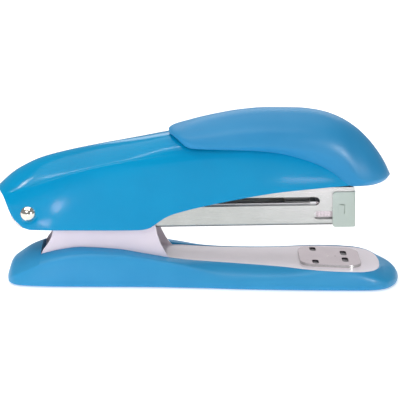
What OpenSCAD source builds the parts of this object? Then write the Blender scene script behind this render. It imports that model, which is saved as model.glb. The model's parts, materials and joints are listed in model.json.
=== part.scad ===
/* [Hinge] */
// Distance of the hinge pin behind the middle of the stapler
hinge_back = 61.5; // [61:0.1:62]
// Height of the hinge pin above the desk
hinge_height = 26.5; // [26:0.1:27]
// Radius of the hinge pin's shank
pin_r = 2; // [1.8:0.05:2.1]
// Running clearance round the pin, on the radius
pin_gap = 0.05; // [0.03:0.01:0.1]

/* [Magazine] */
// Upward lean of the magazine at rest, in degrees
magazine_lean = 1.35; // [1:0.05:1.6]
// Outer half width of the steel channel
channel_half = 7.4; // [7.3:0.05:7.5]
// Thickness of the channel's sheet
channel_wall = 0.7; // [0.5:0.05:0.8]
// Distance from the hinge axis down to the channel's underside
channel_drop = 7.1; // [7:0.05:7.2]
// Distance from the hinge axis up to the channel's top edge
channel_rise = 7; // [6.5:0.1:7.1]
// Distance from the hinge axis to the front face of the magazine
nose_reach = 117.5; // [117:0.1:118]

/* [Staples] */
// Outer width of a staple's crown
crown_w = 12.7; // [12.4:0.1:12.8]
// Height of a staple's leg
leg_h = 5.8; // [5:0.1:5.8]
// Thickness of the wire, seen from the end
wire_t = 0.5; // [0.4:0.05:0.5]
// Number of staples left in the strip
staple_count = 22; // [10:1:22]
// Pitch of the glued staples
staple_pitch = 0.52; // [0.5:0.01:0.53]

/* [Head] */
// Angle that the head swings down to drive a staple, in degrees
press_angle = 4.3; // [4:0.1:4.4]
// Wall of the glossy head shell
shell_wall = 1.8; // [1.5:0.1:2]
// Wall of the grip cap
cap_wall = 1.4; // [1.2:0.1:1.4]

/* [Base] */
// Thickness of the steel base plate
plate_t = 1; // [0.8:0.1:1.1]
// Inner half distance between the two hinge ears
ear_inner = 8.6; // [8.55:0.01:8.65]
// Height of the shell's lower edge above the desk
edge_lift = 0.3; // [0.2:0.1:0.6]
// Side wall of the base shell
base_wall = 2; // [1.6:0.1:2.2]

/* [Anvil] */
// Distance of the anvil's pivot in front of the middle
anvil_x = 47.7; // [47:0.1:48.2]
// Half length of the anvil, along the stapler
anvil_half_l = 11.2; // [10:0.1:11.5]
// Half width of the anvil, across the stapler
anvil_half_w = 11.2; // [11:0.1:12]
// Forward slope of the tray under the anvil, in degrees
tray_slope = 1.8; // [1.8:0.01:1.81]

/* [Hidden] */
$fn = 48;

hinge = [-hinge_back, 0, hinge_height];
head_lean = magazine_lean + press_angle;
overall_half = 73;

// Side view and plan curves of the base shell, as [x, value]
base_rear = -70;
base_rim_z = [[-70, 2], [-68.6, 5], [-66, 7], [-62, 9.2], [-57.4, 11], [-50, 12.9], [-43, 13.8],
              [-30, 13.2], [-20, 11.6], [-10, 10], [0, 9], [14, 8.3], [30, 7.8], [62, 6.8],
              [67, 6.2], [70, 5.2], [72, 3.8], [73, 2.2]];
base_half_w = [[-70, 6], [-69.2, 10.4], [-68, 12.8], [-66, 14.6], [-60, 15.7], [-50, 16.2], [-20, 15.9],
               [0, 16.6], [20, 17.8], [45, 18.2], [58, 18], [62, 17.7], [65, 16.8], [67.4, 15.4],
               [69.6, 12.8], [71.4, 9.4], [72.5, 5.8], [73, 3]];
// Height of the hump behind the plate, on the middle line
base_hump_z = [[-70, 2.6], [-68.8, 6], [-66, 8.2], [-62, 10.9], [-57, 12.9]];
base_rim_w = [[-70, 3], [-66, 6], [-61.5, 8.8], [-58, 10.1], [-12, 10.1], [0, 10],
              [10, 10.4], [20, 11.3], [30, 12.9], [38, 15.2], [45, 16.5], [52, 16.8], [58, 16.2],
              [62.5, 13.6], [65, 9.8], [67, 5], [70, 3], [73, 1]];

// The steel plate: plan half width and height of its top face
plate_rear = -57.4;
plate_nose = 66;
plate_half_w = [[-57.4, 9.6], [-12, 9.6], [0, 9.7], [10, 10.1], [20, 11], [30, 12.6], [38, 14.9],
                [45, 16.2], [52, 16.5], [58, 15.9], [62, 13.8], [64.4, 10.4], [65.6, 6], [66, 1]];
ear_outer = ear_inner + plate_t;
floor_z = 9.2;
recess_gap = 0.1;
bed_gap = 0.2;
slope_start = 30;
slope_top = 7.7;
plate_steps = 36;
plate_top = [[-60, floor_z], [-9, floor_z], [0, 8.75], [10, 8.3], [20, 7.98],
             [slope_start, slope_top], [70, slope_top - (70 - slope_start) * tan(tray_slope)]];
anvil_z = slope_top - (anvil_x - slope_start) * tan(tray_slope);

// Side view and plan curves of the head shell
shell_nose = 58.2;
shell_open = [-71.2, 56.8];
shell_top_z = [[-73, 34.9], [-72, 35.8], [-69, 38.4], [-65, 41], [-58, 44.4], [-51, 46.5],
               [-36, 49.8], [-20, 52.7], [-11, 54.4], [5, 56.2], [20, 57.6], [35, 57.6],
               [45, 56], [52, 53], [58.2, 48.8]];
shell_low_z = [[-73, 34.2], [-71.6, 33.9], [-70.2, 32.4], [-69.4, 30], [-68.5, 27.3], [-66.9, 24.7],
               [-65.2, 22.9], [-63.2, 21.3], [-60.4, 20.6], [-36, 20.7], [-18.5, 21],
               [-15.6, 23.3], [-12.5, 25.8], [-7, 27.6], [0, 29.4], [8, 31.2],
                [18, 33.25], [28, 34.95], [39, 36.2], [52, 37.5], [58.2, 37.9]];
shell_half_w = [[-73, 2], [-72.6, 5.4], [-71.6, 8.6], [-70, 10.6], [-68, 11.7], [-65, 12.2],
                [-61, 12.6], [-50, 13], [-30, 13], [-10, 12.6], [0, 12.1], [20, 11.9], [50, 11.5],
                [55, 11], [58.2, 9.6]];

// Side view and plan curves of the grip cap
cap_rear = -11.4;
cap_nose = 68.6;
cap_lip = 0.8;
cap_top_z = [[-11.4, 55.6], [-10.6, 56.1], [-7, 57.3], [0, 59.5], [7, 61.2], [14, 62.5],
             [24, 63.4], [35, 63.4], [43, 62.5], [50, 60.2], [56, 56.6], [61, 51.9], [65, 46.8],
             [67.4, 42.8], [68.6, 40.2]];
cap_low_z = [[-11.4, 55], [-10.4, 54.8], [-8.5, 53.9], [-6, 52.1], [-4, 51.1], [5, 50.9],
             [18, 50.5], [27, 49.6], [34, 48], [41, 45.7], [46.4, 43],
             [50, 40.2], [52.2, 38.2], [54.5, 37.35], [60.4, 37.35], [64, 37.75], [66.5, 38.4],
             [68.6, 39.6]];
cap_half_w = [[-11.4, 3.5], [-10.4, 7], [-8.5, 10], [-6, 12.4], [-3, 13.6], [4, 14.2],
              [24, 14.5], [44, 14.5], [54, 13.9], [60, 12.4], [64, 10], [67, 6.6], [68.6, 2.6]];

// Anvil, its post and spring, in the anvil's own frame
post_r = 2.5;
post_neck_r = 2;
button_r = 4;
button_low = -6.3;
button_high = -4.9;
cup_t = 0.4;
spring_seat = -1.9;
groove_reach = 5.55;
anvil_gap = 0.02;
anvil_top = 1;
pocket_depth = 0.45;

// Magazine, measured along it from the hinge axis
channel_in = channel_half - channel_wall;
floor_low = -channel_drop;
floor_top = floor_low + channel_wall;
corridor = nose_reach - 2.9;
rail_half = crown_w / 2 - wire_t - 0.15;
rail_t = 0.8;
rail_lip = 0.6;
crown_top = 1.5;
rail_top = crown_top - wire_t;
rail_rear = 20;
rail_front = corridor - 0.4;
rivet_x = [26, 88];
rivet_r = 1.5;
rod_z = -3;
rod_r = 1.2;
coil_r = 1.95;
coil_wire_r = 0.28;
strip_front = nose_reach - 2.6;
strip_back = strip_front - staple_count * staple_pitch;
pusher_front = strip_back - 0.1;
pusher_back = pusher_front - 11;
bracket_rear = 6;
bracket_front = 14;
clip_length = 8.2;
clip_low = -7.7;
clip_high = 5.3;

// Head frame and driver, measured along the head from the hinge axis
frame_low = 9.8;
frame_t = 0.7;
frame_in = channel_half + 0.25;
frame_front = 114.6;
blade_back = nose_reach - 2.2;
blade_t = 0.7;
blade_half = 6.4;
driver_rivet = [111, 3.5];
leaf_t = 0.5;

// Fasteners
lift_rivet_x = -26;
lift_leaf_t = 0.6;
screw_r = 1.1;
screw_head_r = 2.2;
screw_head_t = 1.4;
base_screw_x = [-50, -22];
frame_screw_x = [36, 92];
cap_screw_x = [6, 38];
post_h = [9.2, 9.8];

// Interpolates a smooth curve through [x, value] points
function seg(p, x, i = 0) = (i >= len(p) - 2 || x < p[i + 1][0]) ? i : seg(p, x, i + 1);
function slope(p, i) =
    i <= 0 ? (p[1][1] - p[0][1]) / (p[1][0] - p[0][0]) :
    i >= len(p) - 1 ? (p[i][1] - p[i - 1][1]) / (p[i][0] - p[i - 1][0]) :
    let (a = (p[i][1] - p[i - 1][1]) / (p[i][0] - p[i - 1][0]),
         b = (p[i + 1][1] - p[i][1]) / (p[i + 1][0] - p[i][0]))
    a * b <= 0 ? 0 : 2 * a * b / (a + b);
function curve(p, x) =
    let (i = seg(p, x), h = p[i + 1][0] - p[i][0], t = (x - p[i][0]) / h)
    p[i][1] * (1 + 2 * t) * (1 - t) * (1 - t) + slope(p, i) * h * t * (1 - t) * (1 - t)
    + p[i + 1][1] * t * t * (3 - 2 * t) + slope(p, i + 1) * h * t * t * (t - 1);

// Stations from a to b, closer together towards both ends
function stations(a, b, n) = [for (i = [0:n]) (a + b) / 2 - (b - a) / 2 * cos(180 * i / n)];

// A full cross-section from its right-hand half, listed from the bottom to the top
function ring(x, half) = concat([for (q = half) [x, q[0], q[1]]],
                                [for (i = [len(half) - 1:-1:0]) [x, -half[i][0], half[i][1]]]);

// A closed solid through rings that all have the same number of points
module loft(rings) {
    n = len(rings[0]);
    m = len(rings);
    side = [for (i = [0:m - 2], j = [0:n - 1])
            let (a = i * n + j, b = i * n + (j + 1) % n)
            each [[a, b, b + n], [a, b + n, a + n]]];
    polyhedron(points = [for (r = rings, q = r) q],
               faces = concat([[for (j = [n - 1:-1:0]) j]], side,
                              [[for (j = [0:n - 1]) (m - 1) * n + j]]));
}

// A shell open at the bottom. Each station is [x, outer half, inner half], with as many points in
// both halves, and its end faces are strips between the outer and the inner line
module hollow_loft(sections) {
    k = 2 * len(sections[0][1]);
    n = 2 * k;
    m = len(sections);
    rings = [for (s = sections) let (inner = ring(s[0], s[2]))
             concat(ring(s[0], s[1]), [for (i = [k - 1:-1:0]) inner[i]])];
    side = [for (i = [0:m - 2], j = [0:n - 1])
            let (a = i * n + j, b = i * n + (j + 1) % n)
            each [[a, b, b + n], [a, b + n, a + n]]];
    ends = [for (j = [0:k - 2]) let (a = j, b = j + 1, c = n - 2 - j, d = n - 1 - j, e = (m - 1) * n)
            each [[a, d, c], [a, c, b], [a + e, b + e, c + e], [a + e, c + e, d + e]]];
    polyhedron(points = [for (r = rings, q = r) q], faces = concat(side, ends));
}

// Half of an arched section: a straight foot, then a superellipse shoulder of power k
function arch(w, low, foot, top, k, n) = concat([[w, low]],
    [for (i = [0:n]) let (t = 90 * i / n)
     [max(w * pow(cos(t), 2 / k), 0.05), foot + (top - foot) * pow(sin(t), 2 / k)]]);

// A small round notch with as many points, which closes a shell's end to a wall
function notch(r, low, n) = [for (i = [0:n]) [0.05 + r * cos(90 * i / n), low + r * sin(90 * i / n)]];

// A flat outline mirrored about the x axis
function mirrored(p) = concat(p, [for (i = [len(p) - 1:-1:0]) [p[i][0], -p[i][1]]]);

// A quarter arc of points round a centre
function arc(cx, cy, r, from, to, n = 8) =
    [for (i = [0:n]) let (a = from + (to - from) * i / n) [cx + r * cos(a), cy + r * sin(a)]];

function rounded_box(l, w, r) = concat(arc(l - r, w - r, r, 0, 90), arc(r - l, w - r, r, 90, 180),
                                       arc(r - l, r - w, r, 180, 270), arc(l - r, r - w, r, 270, 360));

// Side-view outline of a slot with round ends, from x0 to x1
function rounded_slot(x0, x1, z, r) = concat(arc(x0 + r, z, r, 90, 270, 16),
                                             arc(x1 - r, z, r, -90, 90, 16));

// A side-view outline (x, z) given thickness from y0 to y1
module side_plate(points, y0, y1) {
    translate([0, y1, 0]) rotate([90, 0, 0]) linear_extrude(y1 - y0) polygon(points);
}

// A cylinder along y from y0 to y1
module y_rod(r, y0, y1) {
    translate([0, y0, 0]) rotate([-90, 0, 0]) cylinder(r = r, h = y1 - y0);
}

// A cylinder along x from x0 to x1
module x_rod(r, x0, x1) {
    translate([x0, 0, 0]) rotate([0, 90, 0]) cylinder(r = r, h = x1 - x0);
}

module box_between(a, b) {
    translate(a) cube(b - a);
}

module both_sides() {
    children();
    mirror([0, 1, 0]) children();
}

// Frames that turn with the magazine and with the head, both centred on the hinge axis
module in_magazine() {
    translate(hinge) rotate([0, -magazine_lean, 0]) children();
}

module in_head() {
    translate(hinge) rotate([0, -head_lean, 0]) children();
}

module in_anvil() {
    translate([anvil_x, 0, anvil_z]) rotate([0, tray_slope, 0]) children();
}

// A round-wire coil along z, as one swept tube
module coil(r, wire_r, height, turns, steps, sides) {
    count = turns * steps;
    rise = (height - 2 * wire_r) / count;
    loft_points = [for (i = [0:count]) [for (j = [0:sides - 1])
        let (a = 360 * i / steps, b = -360 * j / sides)
        [(r + wire_r * cos(b)) * cos(a), (r + wire_r * cos(b)) * sin(a),
         wire_r + i * rise + wire_r * sin(b)]]];
    mirror([0, 1, 0]) loft(loft_points);
}

// A round-headed or flat-headed screw standing on z = 0 with its head below
module screw(shank) {
    translate([0, 0, -screw_head_t]) cylinder(r = screw_head_r, h = screw_head_t);
    cylinder(r = screw_r, h = shank);
}

// ---- Base ----

// The outer line ends in the recess that holds the steel plate, or in the hump behind it
function base_outer(x) =
    let (w = curve(base_half_w, x), rim = min(curve(base_rim_w, x), w - 0.4),
         top = curve(base_rim_z, x), foot = edge_lift + 0.8,
         sunk = x > plate_rear - recess_gap - 0.01 && x < plate_nose + recess_gap + 0.01,
         wall = min(curve(plate_half_w, max(plate_rear, min(plate_nose, x))) + recess_gap, rim - 0.1),
         bed = lookup(x, plate_top) - plate_t - bed_gap,
         hump = x < 0 ? max(curve(base_hump_z, x), top) : top)
    concat([[w - 0.7, edge_lift], [w - 0.2, edge_lift + 0.25]],
           [for (t = [0:10:90]) [rim + (w - rim) * pow(cos(t), 0.9),
                                foot + (top - foot) * pow(sin(t), 0.9)]],
           sunk ? [[wall, top], [wall, bed], [0.1, bed]]
                : [[rim * 0.75, top + (hump - top) * 0.5], [rim * 0.4, top + (hump - top) * 0.85],
                   [0.1, hump]]);

function base_inner(x) =
    let (w = curve(base_half_w, x) - base_wall,
         top = min(curve(base_rim_z, x) - 2, lookup(x, plate_top) - plate_t - 1.6))
    (x < base_rear + 2.2 || x > overall_half - 2.6) ? notch(0.2, edge_lift, 14)
    : [for (t = [0:90 / 14:90]) [w - 3 * (1 - pow(cos(t), 0.7)),
                                 edge_lift + (top - edge_lift) * pow(sin(t), 0.7)]];

// The plate's tray, without its ears
module plate_tray() {
    intersection() {
        linear_extrude(40) polygon(mirrored([for (x = stations(plate_rear, plate_nose, plate_steps))
                                             [x, curve(plate_half_w, x)]]));
        side_plate(concat([for (p = plate_top) [p[0], p[1] - plate_t]],
                          [for (i = [len(plate_top) - 1:-1:0]) plate_top[i]]), -25, 25);
    }
}

module base_shell() {
    rear_end = plate_rear - recess_gap;
    front_end = plate_nose + recess_gap;
    along_plate = stations(plate_rear, plate_nose, plate_steps);
    xs = concat(stations(base_rear, rear_end - 0.03, 8), [rear_end], along_plate, [front_end],
                stations(front_end + 0.03, overall_half, 6));
    color("deepskyblue") difference() {
        hollow_loft([for (x = xs) [x, base_outer(x), base_inner(x)]]);
        in_anvil() translate([0, 0, -8]) cylinder(r = post_r + 0.6, h = 9);
        in_anvil() translate([0, 0, -8]) cylinder(r = button_r + 0.9, h = 8 + spring_seat);
        for (x = base_screw_x) translate([x, 0, 0]) cylinder(r = screw_r + 0.2, h = 12);
    }
}

module base_pad() {
    pad_xs = stations(base_rear + 4.2, overall_half - 3.9, 30);
    color("dimgray") difference() {
        linear_extrude(edge_lift + 1.1)
            polygon(mirrored([for (x = pad_xs) [x, curve(base_half_w, x) - base_wall - 0.5]]));
        translate([anvil_x - anvil_z * sin(tray_slope), 0, -1]) cylinder(r = 5.5, h = 4);
    }
}

function ear_outline() = concat(
    [[plate_rear, floor_z - plate_t / 2], [plate_rear, 10.9], [-56.4, 12.6], [-54.9, 14.7],
     [-53.6, 17], [-52.9, 19.6], [-53.6, 20.9], [-55.4, 21.6]],
    arc(-hinge_back, hinge_height, 4.8, -90, -270, 14),
    [[-40, 30.4], [-22, 27], [-18, 25.6], [-16.4, 23.6], [-15.8, 21], [-15.3, 18.2],
     [-14.2, 15.2], [-12.6, 12.2], [-11.2, 10.2], [-9.6, floor_z - plate_t / 2]]);

module base_plate() {
    color("seashell") difference() {
        union() {
            plate_tray();
            side_plate(ear_outline(), ear_inner, ear_outer);
            side_plate(ear_outline(), -ear_outer, -ear_inner);
        }
        translate(hinge) y_rod(pin_r, -20, 20);
        in_anvil() translate([0, 0, -4]) cylinder(r = post_r + 0.05, h = 8);
        for (x = base_screw_x) translate([x, 0, 0]) cylinder(r = screw_r, h = 20);
        translate([lift_rivet_x, 0, 0]) cylinder(r = rivet_r, h = 20);
    }
}

module base_screws() {
    color("silver") for (x = base_screw_x)
        translate([x, 0, floor_z - plate_t - 1.6]) screw(plate_t + 1.6);
}

module hinge_pin() {
    head_r = 2.75;
    head_h = 1.5;
    dome_r = (head_r * head_r + head_h * head_h) / (2 * head_h);
    color("gainsboro") translate(hinge) {
        y_rod(pin_r, -12.5, 12.4);
        intersection() {
            translate([0, -12.5 - head_h + dome_r, 0]) sphere(r = dome_r, $fn = 64);
            y_rod(head_r, -12.5 - head_h - 1, -12.5);
        }
    }
}

module pin_cap() {
    head_r = 2.75;
    head_h = 1.6;
    dome_r = (head_r * head_r + head_h * head_h) / (2 * head_h);
    color("gainsboro") translate(hinge) intersection() {
        translate([0, 12.4 + head_h - dome_r, 0]) sphere(r = dome_r, $fn = 64);
        y_rod(head_r, 12.4, 12.4 + head_h + 1);
    }
}

module hinge_washers() {
    color("silver") translate(hinge) both_sides() difference() {
        y_rod(3.4, ear_outer, ear_outer + 0.4);
        y_rod(pin_r + pin_gap, 0, 20);
    }
}

// Flat spring outline of even thickness along a bent line
function strip_outline(p, t) = concat(p, [for (i = [len(p) - 1:-1:0]) [p[i][0], p[i][1] + t]]);

module lift_spring() {
    path = concat([[-49, 18.2], [-47.6, 19], [-46, 19.1], [-44.8, 18.6]],
                  arc(-29, floor_z + 14, 14, -128, -90, 6), [[-20, floor_z]]);
    color("silver") difference() {
        side_plate(strip_outline(path, lift_leaf_t), -4, 4);
        translate([lift_rivet_x, 0, 0]) cylinder(r = rivet_r, h = 20);
    }
}

module lift_spring_rivet() {
    color("silver") translate([lift_rivet_x, 0, floor_z - plate_t]) {
        cylinder(r = rivet_r, h = plate_t + lift_leaf_t);
        translate([0, 0, plate_t + lift_leaf_t]) cylinder(r = 2.6, h = 0.9);
    }
}

// ---- Anvil ----

module anvil_spring() {
    color("silver") in_anvil() translate([0, 0, button_high + cup_t + 0.05])
        coil(3.2, 0.22, spring_seat - button_high - cup_t - 0.1, 2.5, 20, 8);
}

module anvil_spring_cup() {
    color("silver") in_anvil() translate([0, 0, button_high + 0.02]) difference() {
        cylinder(r = button_r, h = cup_t);
        translate([0, 0, -1]) cylinder(r = post_r + 0.08, h = 3);
    }
}

// One staple-forming pocket, seen in plan, its round ends along y
module pocket(y0, y1, half) {
    translate([0, 0, anvil_top - pocket_depth]) linear_extrude(2) union() {
        translate([-half, y0 + half]) square([2 * half, y1 - y0 - 2 * half]);
        translate([0, y0 + half]) circle(r = half);
        translate([0, y1 - half]) circle(r = half);
    }
}

module anvil() {
    color("rosybrown") in_anvil() difference() {
        translate([0, 0, anvil_gap]) linear_extrude(anvil_top - anvil_gap)
            polygon(rounded_box(anvil_half_l, anvil_half_w, 5));
        both_sides() {
            translate([groove_reach, 0, 0]) pocket(1.4, 6.9, 1.15);
            translate([-groove_reach, 0, 0]) pocket(5.6, 10.3, 1.15);
        }
        translate([0, 0, -1]) cylinder(r = post_neck_r, h = 3);
    }
}

module anvil_post() {
    color("silver") in_anvil() {
        translate([0, 0, button_low]) cylinder(r = button_r, h = button_high - button_low);
        translate([0, 0, button_low]) cylinder(r = post_r, h = -button_low);
        cylinder(r = post_neck_r, h = anvil_top);
    }
}

// ---- Magazine ----

module magazine_channel() {
    tail_r = 7;
    side = concat(arc(0, tail_r - channel_drop, tail_r, 180, 270, 10),
                  [[nose_reach - 1, floor_low], [nose_reach - 1, clip_high + 0.15],
                   [nose_reach - 0.25, clip_high + 0.15]],
                  arc(nose_reach - 0.85, channel_rise - 0.6, 0.6, 0, 90, 6),
                  arc(0, channel_rise - tail_r, tail_r, 90, 180, 10));
    slot = rounded_slot(45, 104.7, 1.92, 1.58);
    window = rounded_slot(102.5, 111.7, -3.3, 1.55);
    color("lightgray") in_magazine() difference() {
        union() {
            side_plate(side, channel_in, channel_half);
            side_plate(side, -channel_half, -channel_in);
            box_between([4, -channel_half, floor_low], [corridor, channel_half, floor_top]);
        }
        y_rod(pin_r + pin_gap, -20, 20);
        side_plate(slot, -20, 20);
        side_plate(window, -20, 20);
        for (x = rivet_x) translate([x, 0, -10]) cylinder(r = rivet_r, h = 6);
    }
}

module staple_rail() {
    inner = rail_half - rail_t;
    seat = 4;
    color("silver") in_magazine() difference() {
        box_between([rail_rear, -rail_half, floor_top], [rail_front, rail_half, rail_top]);
        difference() {
            box_between([rail_rear - 1, -inner, floor_top - 1],
                        [rail_front - rail_t, inner, rail_top - rail_t]);
            for (x = rivet_x)
                box_between([x - seat, -inner - 1, floor_top - 2],
                            [x + seat, inner + 1, floor_top + rail_t]);
        }
        box_between([30, rail_lip - inner, rail_top - 2], [107, inner - rail_lip, rail_top + 1]);
        for (x = rivet_x) translate([x, 0, -10]) cylinder(r = rivet_r, h = 8);
        translate([0, 0, rod_z]) x_rod(rod_r, 100, 120);
    }
}

module rail_rivets() {
    color("gray") in_magazine() for (x = rivet_x)
        translate([x, 0, floor_low]) cylinder(r = rivet_r, h = channel_wall + rail_t);
}

module front_plate() {
    wing_in = channel_half + 0.05;
    wing_out = wing_in + 0.5;
    back = nose_reach - clip_length;
    bend = 1.2;
    side = concat([[nose_reach, clip_low], [nose_reach, clip_high]],
                  arc(back + bend, clip_high - bend, bend, 90, 180, 6),
                  arc(back + bend, clip_low + bend, bend, 180, 270, 6));
    color("darkseagreen") in_magazine() {
        side_plate(side, wing_in, wing_out);
        side_plate(side, -wing_out, -wing_in);
        box_between([nose_reach - 0.9, -wing_out, clip_low], [nose_reach, wing_out, clip_high]);
    }
}

module pusher_rod() {
    color("silver") in_magazine() translate([0, 0, rod_z]) x_rod(rod_r, bracket_front - 2, rail_front);
}

module rod_bracket() {
    t = 0.9;
    outline = [[bracket_rear, floor_top], [bracket_front, floor_top], [bracket_front, 3],
               [bracket_rear + 1, 3], [bracket_rear + 1, 3 - t], [bracket_front - t, 3 - t],
               [bracket_front - t, floor_top + t], [bracket_rear, floor_top + t]];
    color("gray") in_magazine() difference() {
        side_plate(outline, -channel_in + 0.1, channel_in - 0.1);
        translate([0, 0, rod_z]) x_rod(rod_r, 0, 30);
    }
}

module staple_strip() {
    half = crown_w / 2;
    color("whitesmoke") in_magazine() difference() {
        box_between([strip_back, -half, crown_top - leg_h], [strip_front, half, crown_top]);
        box_between([strip_back - 1, wire_t - half, crown_top - leg_h - 1],
                    [strip_front + 1, half - wire_t, rail_top]);
    }
}

// Slides inside the rail, with a saddle at its front that straddles the rail behind the staples
module pusher() {
    body_half = rail_half - rail_t - rail_lip - 0.1;
    saddle_in = rail_half + 0.1;
    saddle_out = crown_w / 2;
    saddle_back = pusher_front - 2;
    color("darkslategray") in_magazine() difference() {
        union() {
            box_between([pusher_back, -body_half, -5.2], [pusher_front, body_half, rail_top + 0.1]);
            box_between([saddle_back, -saddle_out, rail_top + 0.1],
                        [pusher_front, saddle_out, crown_top]);
            both_sides() box_between([saddle_back, saddle_in, crown_top - leg_h],
                                     [pusher_front, saddle_out, crown_top]);
        }
        translate([0, 0, rod_z]) x_rod(rod_r + 0.1, 0, 130);
        translate([0, 0, rod_z]) x_rod(coil_r + coil_wire_r + 0.2, 0, pusher_back + 2);
    }
}

module pusher_spring() {
    length = pusher_back + 2 - bracket_front - 0.2;
    color("silver") in_magazine() translate([bracket_front + 0.1, 0, rod_z])
        rotate([0, 90, 0]) coil(coil_r, coil_wire_r, length, 26, 10, 5);
}

// ---- Head ----

// The shell's section, drawn in from its outer surface by inset
function shell_section(x, inset, n) =
    let (low = curve(shell_low_z, x), top = curve(shell_top_z, x) - inset)
    arch(max(curve(shell_half_w, x) - inset, 0.4), low, min(low + 0.2, top - 0.1), top, 3.6, n);

function shell_inner(x) =
    (x < shell_open[0] - 0.01 || x > shell_open[1] + 0.01)
    ? notch(0.2, curve(shell_low_z, x), 13)
    : shell_section(x, shell_wall, 12);

module head_shell() {
    xs = concat(stations(-overall_half, shell_open[0] - 0.05, 3),
                stations(shell_open[0], shell_open[1], 28),
                stations(shell_open[1] + 0.03, shell_nose, 2));
    color("dodgerblue") difference() {
        hollow_loft([for (x = xs) [x, shell_section(x, 0, 12), shell_inner(x)]]);
        translate(hinge) y_rod(pin_r + pin_gap, -20, 20);
        translate(hinge) both_sides() y_rod(3.2, 12.35, 20);
        for (x = cap_screw_x) translate([x, 0, 50]) cylinder(r = screw_r + 0.2, h = 12);
    }
}

// Posts that stand between the steel frame and the shell's roof
module shell_posts() {
    color("dodgerblue") in_head() for (x = frame_screw_x) translate([x, 0, frame_low + frame_t])
        difference() {
            cylinder(r = 3, h = x < 60 ? post_h[0] : post_h[1]);
            translate([0, 0, -1]) cylinder(r = screw_r, h = 7);
        }
}

function cap_outer(x) =
    let (w = curve(cap_half_w, x), top = curve(cap_top_z, x), low = curve(cap_low_z, x),
         belt = low + min(4, (top - low) * 0.35))
    concat([[w - min(cap_lip, w / 4), low]], arch(w, belt, belt + 0.05, top, 2.1, 12));

function cap_inner(x) =
    let (w = curve(cap_half_w, x) - cap_wall, top = curve(cap_top_z, x) - cap_wall,
         low = curve(cap_low_z, x), solid = x < cap_rear + 0.6 || x > cap_nose - 2.2)
    solid ? notch(0.2, low, 14)
          : arch(w - min(cap_lip, w / 4), low, low + 0.05, max(top, low + 0.2), 2.5, 13);

module grip_cap() {
    color("cornflowerblue")
        hollow_loft([for (x = stations(cap_rear, cap_nose, 32)) [x, cap_outer(x), cap_inner(x)]]);
}

// Posts that stand between the shell's roof and the cap's roof
module cap_posts() {
    color("cornflowerblue") for (x = cap_screw_x) translate([x, 0, curve(shell_top_z, x) + 0.4])
        difference() {
            cylinder(r = 2.4, h = curve(cap_top_z, x) - cap_wall - curve(shell_top_z, x));
            translate([0, 0, -1]) cylinder(r = screw_r, h = 5);
        }
}

module head_frame() {
    side = concat(arc(0, 0, 4.5, 110, 270, 14),
                  [[40, -4], [46, -3], [54, 0], [66, 1.2], [102, 2], [107, 5.6], [frame_front, 5.6],
                   [frame_front, frame_low + frame_t], [14, frame_low + frame_t], [9, 9]]);
    color("silver") in_head() difference() {
        union() {
            side_plate(side, frame_in, frame_in + frame_t);
            side_plate(side, -frame_in - frame_t, -frame_in);
            box_between([14, -frame_in - frame_t, frame_low],
                        [frame_front, frame_in + frame_t, frame_low + frame_t]);
        }
        y_rod(pin_r + pin_gap, -20, 20);
        for (x = frame_screw_x) translate([x, 0, 5]) cylinder(r = screw_r + 0.1, h = 10);
        both_sides() translate([driver_rivet[0], driver_rivet[1], 5]) cylinder(r = 1, h = 10);
    }
}

module driver_blade() {
    color("slategray") in_head() difference() {
        union() {
            box_between([blade_back, -blade_half, floor_low + 0.2],
                        [blade_back + blade_t, blade_half, frame_low]);
            box_between([106, -blade_half, frame_low - blade_t],
                        [blade_back + blade_t, blade_half, frame_low]);
        }
        both_sides() translate([driver_rivet[0], driver_rivet[1], 5]) cylinder(r = 1, h = 10);
    }
}

module driver_rivets() {
    color("gray") in_head() both_sides() translate([driver_rivet[0], driver_rivet[1], 0]) {
        translate([0, 0, frame_low - blade_t]) cylinder(r = 1, h = blade_t + frame_t);
        translate([0, 0, frame_low + frame_t]) cylinder(r = 1.8, h = 0.7);
        translate([0, 0, frame_low - blade_t - 0.5]) cylinder(r = 1.8, h = 0.5);
    }
}

module frame_screws() {
    color("gray") in_head() {
        translate([frame_screw_x[0], 0, frame_low - leaf_t]) screw(leaf_t + frame_t + 5.5);
        translate([frame_screw_x[1], 0, frame_low]) screw(frame_t + 5.5);
    }
}

module cap_screws() {
    color("gray") for (x = cap_screw_x)
        translate([x, 0, curve(shell_top_z, x) - shell_wall - 0.4]) screw(5.2);
}

module head_spring() {
    path = concat([[41, frame_low - leaf_t], [31, frame_low - leaf_t]],
                  [[26, 8.4], [20, 6], [14, 3.4], [10.8, 2.3], [9, 2.7]]);
    color("silver") in_head() difference() {
        side_plate(strip_outline(path, leaf_t), -3, 3);
        translate([frame_screw_x[0], 0, 5]) cylinder(r = screw_r + 0.1, h = 10);
    }
}

base_shell();
base_pad();
base_plate();
base_screws();
hinge_pin();
pin_cap();
hinge_washers();
lift_spring();
lift_spring_rivet();
anvil_spring();
anvil_spring_cup();
anvil();
anvil_post();
magazine_channel();
staple_rail();
rail_rivets();
front_plate();
pusher_rod();
rod_bracket();
staple_strip();
pusher();
pusher_spring();
head_shell();
shell_posts();
grip_cap();
cap_posts();
head_frame();
driver_blade();
driver_rivets();
frame_screws();
cap_screws();
head_spring();
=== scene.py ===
import json
import math

import bmesh
import bpy
import numpy as np
from mathutils import Matrix, Vector

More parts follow.
